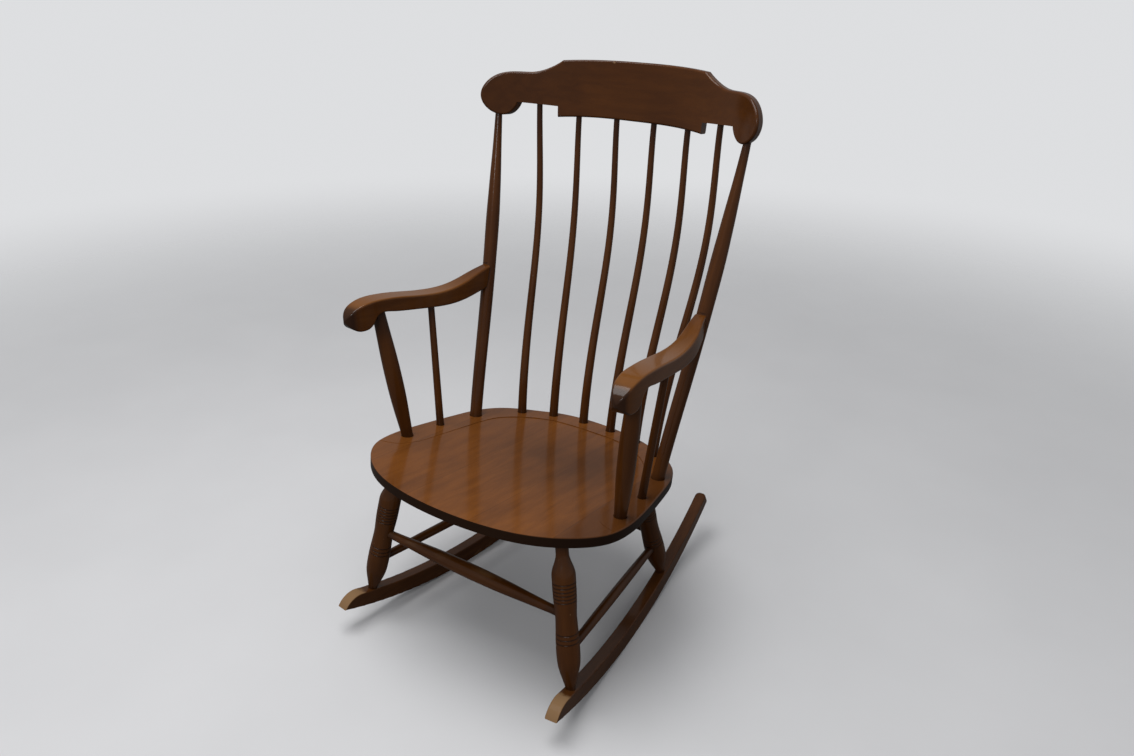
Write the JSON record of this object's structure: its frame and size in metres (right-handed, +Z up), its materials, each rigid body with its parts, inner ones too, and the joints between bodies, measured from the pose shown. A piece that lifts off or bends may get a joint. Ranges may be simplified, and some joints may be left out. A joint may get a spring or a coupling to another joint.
{
  "type": "rocking chair",
  "caption": "Wooden rocking chair with a saddled plank seat, bent back spindles under an eared crest rail, scrolled arms, turned legs and long rockers.",
  "frame": {"origin": "on the floor, halfway between the rockers and halfway along them, under the chair as it rests", "axes": "+Z up, -Y the way the sitter faces, +X to the right of someone who stands in front and looks at the chair"},
  "size_m": [0.6394, 0.7762, 1.1051],
  "materials": {
    "seat_wood": "stained and varnished, satin",
    "crest_wood": "stained and varnished, satin",
    "turned_wood": "stained and varnished, satin",
    "arm_wood": "stained and varnished, satin",
    "rocker_wood": "stained and varnished, satin, worn at the noses",
    "screw_steel": "plain steel"
  },
  "bodies": {
    "root": {"seat": "seat_wood", "crest_rail": "crest_wood", "back_post_left": "turned_wood", "back_post_right": "turned_wood", "back_spindle_1": "turned_wood", "back_spindle_2": "turned_wood", "back_spindle_3": "turned_wood", "back_spindle_4": "turned_wood", "back_spindle_5": "turned_wood", "back_spindle_6": "turned_wood", "arm_left": "arm_wood", "arm_right": "arm_wood", "arm_post_left": "turned_wood", "arm_post_right": "turned_wood", "arm_spindle_left": "turned_wood", "arm_spindle_right": "turned_wood", "arm_screws": "screw_steel", "arm_plugs": "turned_wood", "leg_front_left": "turned_wood", "leg_front_right": "turned_wood", "leg_rear_left": "turned_wood", "leg_rear_right": "turned_wood", "front_stretcher": "turned_wood", "rear_stretcher": "turned_wood", "side_stretcher_left": "turned_wood", "side_stretcher_right": "turned_wood", "rocker_left": "rocker_wood", "rocker_right": "rocker_wood"}
  },
  "joints": []
}
